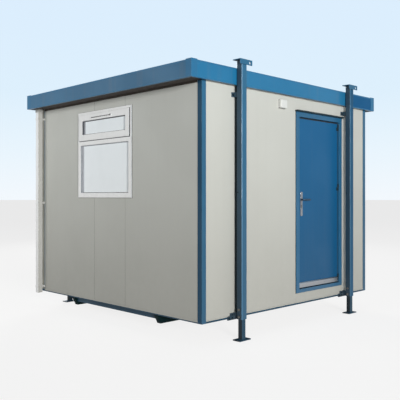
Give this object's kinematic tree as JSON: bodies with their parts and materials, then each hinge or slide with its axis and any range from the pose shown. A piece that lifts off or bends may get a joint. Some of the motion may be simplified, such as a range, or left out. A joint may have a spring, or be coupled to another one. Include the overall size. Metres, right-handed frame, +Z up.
{
  "type": "portable site cabin",
  "caption": "Portable jack-leg site cabin with a flat roof, coated panel walls, a hinged steel door, an end window and telescopic legs with lifting eyes.",
  "frame": {"origin": "on the ground under the middle of the roof's outline", "axes": "+Z up, -Y towards the door side, -X towards the window end"},
  "size_m": [3.449, 3.348, 2.907],
  "materials": {
    "blue_steel": "satin",
    "wall_coating": "matt",
    "dark_steel": "satin",
    "timber": "bare",
    "floor_covering": "matt",
    "ceiling_board": "matt",
    "soffit_board": "stained",
    "roof_coating": "matt",
    "white_plastic": "gloss",
    "pale_glass": "frosted",
    "silver": "brushed",
    "bright_steel": "satin"
  },
  "bodies": {
    "cabin": {"back_wall": "wall_coating", "base_end_rails": "dark_steel", "base_side_rails": "dark_steel", "ceiling": "ceiling_board", "corner_posts": "blue_steel", "door_drip_strip": "dark_steel", "door_frame": "blue_steel", "door_frame_hinges": "bright_steel", "downpipe": "white_plastic", "downpipe_clips": "white_plastic", "end_cross_members": "blue_steel", "end_fascias": "blue_steel", "fascia_corner_caps": "blue_steel", "floor_deck": "floor_covering", "floor_joists": "timber", "front_wall_door_panels": "wall_coating", "front_wall_left_panel": "wall_coating", "front_wall_right_panel": "wall_coating", "left_wall_back_panel": "wall_coating", "left_wall_front_panel": "wall_coating", "left_wall_middle_panel": "wall_coating", "leg_brackets": "blue_steel", "leg_locking_screws": "bright_steel", "leg_sleeves": "blue_steel", "leg_spines": "dark_steel", "lifting_brackets": "blue_steel", "right_wall": "wall_coating", "roof_deck": "roof_coating", "roof_gutter": "roof_coating", "roof_joists": "timber", "side_fascias": "blue_steel", "skids": "dark_steel", "soffits": "soffit_board", "wall_light": "white_plastic", "window_frame": "white_plastic", "window_glass": "pale_glass", "window_vent_sash": "white_plastic"},
    "door": {"door_leaf": "blue_steel", "door_weather_bar": "silver", "door_leaf_hinges": "bright_steel", "door_handle_plates": "silver"},
    "lever": {"door_lever": "silver"},
    "leg_front_left": {"jack_leg_front_left": "blue_steel"},
    "leg_front_right": {"jack_leg_front_right": "blue_steel"},
    "leg_back_left": {"jack_leg_back_left": "blue_steel"},
    "leg_back_right": {"jack_leg_back_right": "blue_steel"}
  },
  "joints": [
    {"name": "door_swing", "type": "hinge", "parent": "cabin", "child": "door", "pos_m": [0.9245, -1.5235, 1.401], "axis": [0, 0, 1], "range_deg": [0, 95]},
    {"name": "lever_turn", "type": "hinge", "parent": "door", "child": "lever", "pos_m": [0.1465, -1.492, 1.449], "axis": [0, 1, 0], "range_deg": [0, 40], "stiffness_Nm_per_rad": 1.2, "springref_deg": -28.65},
    {"name": "leg_slide_front_left", "type": "slide", "parent": "cabin", "child": "leg_front_left", "axis": [0, 0, 1], "range_m": [-0.05, 0.19]},
    {"name": "leg_slide_front_right", "type": "slide", "parent": "cabin", "child": "leg_front_right", "axis": [0, 0, 1], "range_m": [-0.05, 0.19]},
    {"name": "leg_slide_back_left", "type": "slide", "parent": "cabin", "child": "leg_back_left", "axis": [0, 0, 1], "range_m": [-0.05, 0.19]},
    {"name": "leg_slide_back_right", "type": "slide", "parent": "cabin", "child": "leg_back_right", "axis": [0, 0, 1], "range_m": [-0.05, 0.19]}
  ]
}
